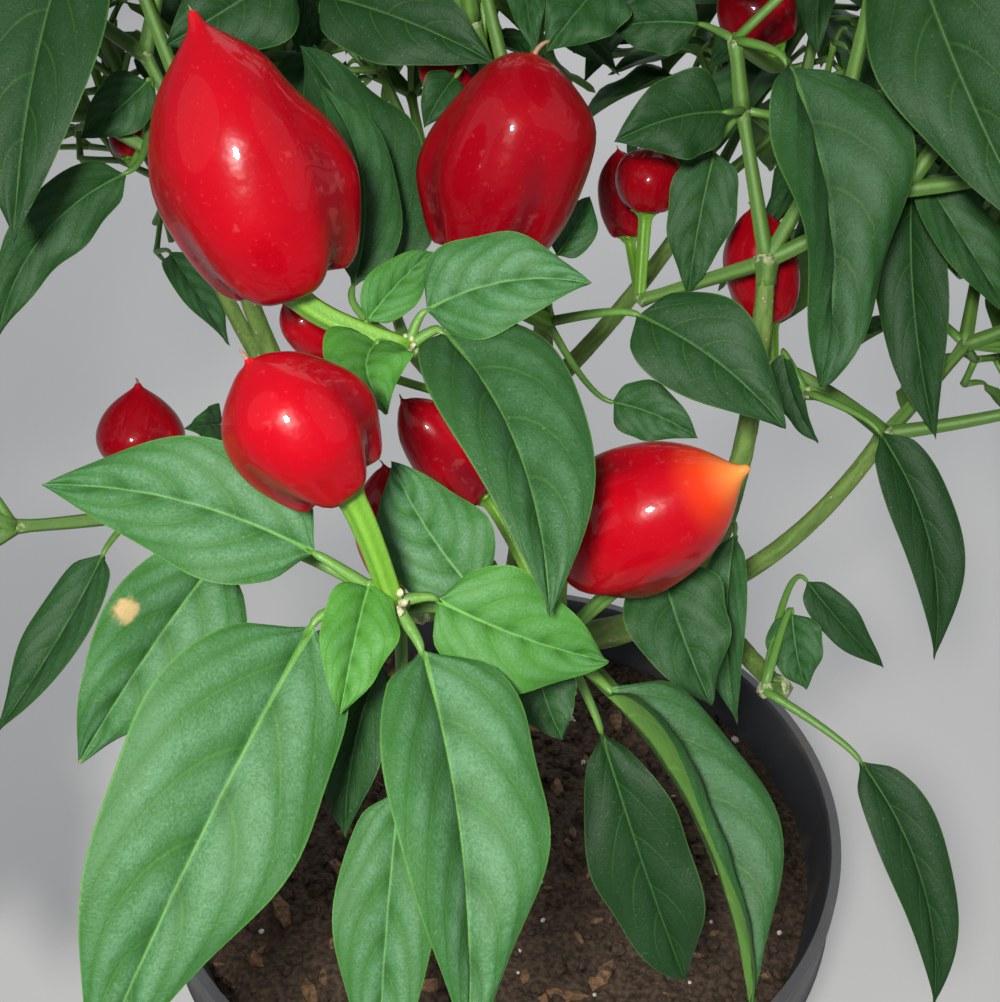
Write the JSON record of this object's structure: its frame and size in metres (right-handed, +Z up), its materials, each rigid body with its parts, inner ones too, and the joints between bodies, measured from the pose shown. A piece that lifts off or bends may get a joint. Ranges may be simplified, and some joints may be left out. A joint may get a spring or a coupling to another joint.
{
  "type": "potted chilli pepper plant",
  "caption": "Fruiting chilli pepper plant with forking stems, drooping pointed leaves and erect red peppers, growing in a plain round pot that stands on its flat underside.",
  "frame": {"origin": "centre of the pot's flat underside", "axes": "+Z up, -Y towards the side that the picture shows, +X to the right in that view"},
  "size_m": [0.3486, 0.3367, 0.4091],
  "materials": {
    "pot": "dark charcoal moulded plastic, satin, slightly scuffed at the rim",
    "soil": "dark moist potting mix with crumbs, bark bits and a few pale grains",
    "bark": "green-brown ridged stem, paler and corky near the ground",
    "foliage": "mid green leaves, satin, with pale veins and yellower undersides",
    "fruit": "glossy deep red waxy skin with faint flecks"
  },
  "bodies": {
    "root": {"pot": "pot", "soil": "soil", "trunk": "bark", "bough_back": "bark", "bough_front": "bark", "bough_left": "bark", "bough_right": "bark", "limb_back_left": "bark", "limb_back_right": "bark", "limb_front_high": "bark", "limb_front_low": "bark", "limb_front_right": "bark", "limb_left_back": "bark", "limb_left_high": "bark", "limb_left_low": "bark", "limb_right_high": "bark", "limb_right_low": "bark", "limb_right_side": "bark", "limb_top": "bark", "foliage_back_left": "foliage", "foliage_back_right": "foliage", "foliage_front_high": "foliage", "foliage_front_low": "foliage", "foliage_front_right": "foliage", "foliage_left_back": "foliage", "foliage_left_high": "foliage", "foliage_left_low": "foliage", "foliage_middle": "foliage", "foliage_right_high": "foliage", "foliage_right_low": "foliage", "foliage_right_side": "foliage", "fruit_front_large": "fruit", "fruit_front_right": "fruit", "fruit_front_round": "fruit", "fruit_inner_long": "fruit", "fruit_inner_low": "fruit", "fruit_inner_small": "fruit", "fruit_left": "fruit", "fruit_left_high": "fruit", "fruit_middle_high": "fruit", "fruit_middle_large": "fruit", "fruit_right_back": "fruit", "fruit_right_dark": "fruit", "fruit_right_high": "fruit", "fruit_right_small": "fruit", "fruit_spray_1": "fruit", "fruit_spray_10": "fruit", "fruit_spray_11": "fruit", "fruit_spray_12": "fruit", "fruit_spray_13": "fruit", "fruit_spray_14": "fruit", "fruit_spray_2": "fruit", "fruit_spray_3": "fruit", "fruit_spray_4": "fruit", "fruit_spray_5": "fruit", "fruit_spray_6": "fruit", "fruit_spray_7": "fruit", "fruit_spray_8": "fruit", "fruit_spray_9": "fruit"}
  },
  "joints": []
}
